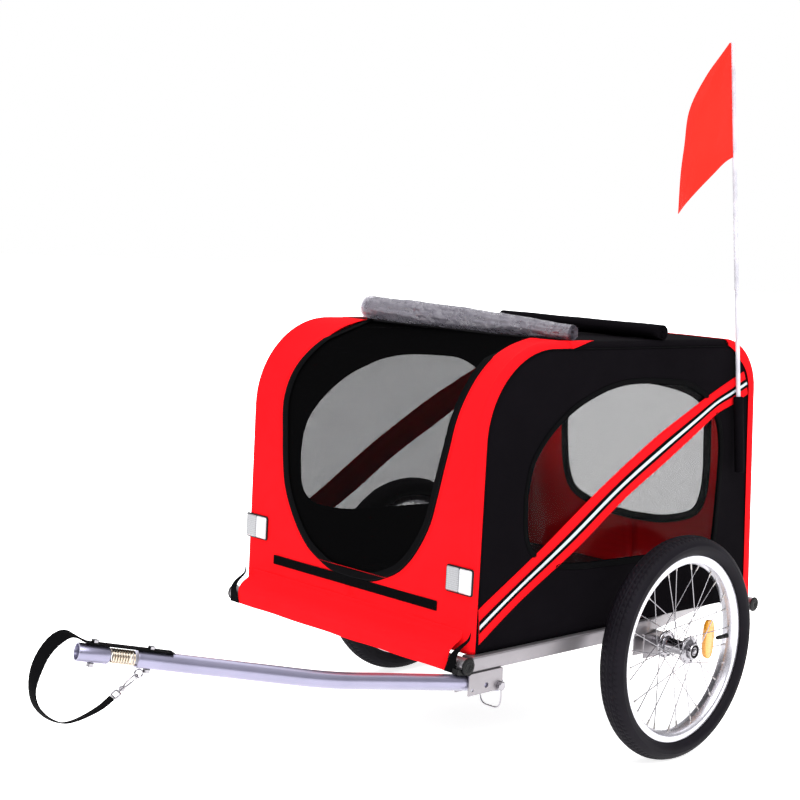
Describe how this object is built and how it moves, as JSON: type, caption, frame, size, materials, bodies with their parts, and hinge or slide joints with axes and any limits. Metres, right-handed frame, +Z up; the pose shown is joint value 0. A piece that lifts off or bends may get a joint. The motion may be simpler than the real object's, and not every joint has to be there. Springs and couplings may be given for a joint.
{
  "type": "bicycle trailer",
  "caption": "Fabric cabin bicycle trailer with spoked wheels, mesh windows, a side tow bar with spring coupler and safety strap, and a flag on a pole.",
  "frame": {"origin": "on the ground under the middle of the bounding box", "axes": "+X forward along the trailer towards its tow bar, +Y to the trailer's left, +Z up"},
  "size_m": [1.5128, 0.774, 1.2767],
  "materials": {
    "red_fabric": "woven",
    "black_fabric": "woven",
    "net": "open mesh",
    "clear_film": "clear",
    "silver_paint": "satin",
    "bright_steel": "polished",
    "alloy": "brushed",
    "black_plastic": "matte",
    "white_plastic": "gloss",
    "amber_plastic": "clear gloss",
    "grey_reflector": "prismatic",
    "tyre_rubber": "matte",
    "bumper_rubber": "matte",
    "flag_cloth": "light cloth"
  },
  "bodies": {
    "frame": {"left_rail": "silver_paint", "right_rail": "silver_paint", "front_cross_tube": "silver_paint", "rear_cross_tube": "silver_paint", "front_left_cap": "black_plastic", "front_right_cap": "black_plastic", "rear_left_cap": "black_plastic", "rear_right_cap": "black_plastic", "left_axle_bracket": "silver_paint", "right_axle_bracket": "silver_paint", "left_axle": "bright_steel", "right_axle": "bright_steel", "tow_bracket": "silver_paint", "bar_bumper": "bumper_rubber", "lock_pin": "bright_steel", "floor_board": "black_plastic", "left_hoop": "black_plastic", "right_hoop": "black_plastic", "front_panel": "red_fabric", "front_net": "net", "front_flap": "red_fabric", "rear_panel": "red_fabric", "rear_net": "net", "roof_panel": "black_fabric", "left_side_panel": "black_fabric", "right_side_panel": "black_fabric", "left_window": "clear_film", "right_window": "clear_film", "left_band": "red_fabric", "right_band": "red_fabric", "hook_and_loop_strip": "black_fabric", "left_front_reflector": "grey_reflector", "right_front_reflector": "grey_reflector", "clear_cover_roll": "clear_film", "roof_cover_roll": "black_fabric", "flag_sleeve": "black_fabric"},
    "left_wheel": {"left_wheel_tyre": "tyre_rubber", "left_wheel_rim": "alloy", "left_wheel_hub": "bright_steel", "left_wheel_spoke_reflector": "amber_plastic", "left_wheel_valve": "black_plastic"},
    "right_wheel": {"right_wheel_tyre": "tyre_rubber", "right_wheel_rim": "alloy", "right_wheel_hub": "bright_steel", "right_wheel_spoke_reflector": "amber_plastic", "right_wheel_valve": "black_plastic"},
    "tow_bar": {"tow_bar_tube": "silver_paint", "coupler_spring": "bright_steel", "rear_strap_bolt": "bright_steel", "safety_strap": "black_fabric", "snap_hook": "bright_steel"},
    "tow_bar_latch": {"tow_bar_button": "bright_steel"},
    "coupler": {"coupler_tube": "silver_paint", "front_strap_bolt": "bright_steel"},
    "bail": {"lock_bail": "bright_steel"},
    "flag": {"flag_pole": "white_plastic", "flag_pennant": "flag_cloth"},
    "left_button": {"left_tube_button": "bright_steel"},
    "right_button": {"right_tube_button": "bright_steel"}
  },
  "joints": [
    {"name": "left_wheel_spin", "type": "hinge", "parent": "frame", "child": "left_wheel", "pos_m": [-0.43435, 0.349, 0.2], "axis": [0, 1, 0], "continuous": true},
    {"name": "right_wheel_spin", "type": "hinge", "parent": "frame", "child": "right_wheel", "pos_m": [-0.43435, -0.349, 0.2], "axis": [0, 1, 0], "continuous": true},
    {"name": "tow_bar_fold", "type": "hinge", "parent": "frame", "child": "tow_bar", "pos_m": [-0.02185, 0.2855, 0.187], "axis": [0, 1, 0], "range_deg": [0, 182]},
    {"name": "lock_bail_swing", "type": "hinge", "parent": "frame", "child": "bail", "pos_m": [-0.02185, 0.2855, 0.187], "axis": [0, 1, 0], "range_deg": [0, 109.2]},
    {"name": "coupler_flex", "type": "hinge", "parent": "tow_bar", "child": "coupler", "pos_m": [0.63645, 0.20188, 0.3102], "axis": [-0.1856, 0.051, 0.9813], "range_deg": [-35, 35], "stiffness_Nm_per_rad": 20, "deforming": ["coupler_spring", "safety_strap"]},
    {"name": "tow_bar_button_press", "type": "slide", "parent": "tow_bar", "child": "tow_bar_latch", "axis": [0, -1, 0], "range_m": [0, 0.004], "stiffness_N_per_m": 400},
    {"name": "left_tube_button_press", "type": "slide", "parent": "frame", "child": "left_button", "axis": [-1, 0, 0], "range_m": [0, 0.003], "stiffness_N_per_m": 400},
    {"name": "right_tube_button_press", "type": "slide", "parent": "frame", "child": "right_button", "axis": [-1, 0, 0], "range_m": [0, 0.003], "stiffness_N_per_m": 400},
    {"name": "flag_lift", "type": "slide", "parent": "frame", "child": "flag", "axis": [0.0618, -0.064, 0.996], "range_m": [0, 0.12]}
  ],
  "couplings": [
    {"joint": "lock_bail_swing", "follows": "tow_bar_fold", "ratio": 0.6}
  ]
}
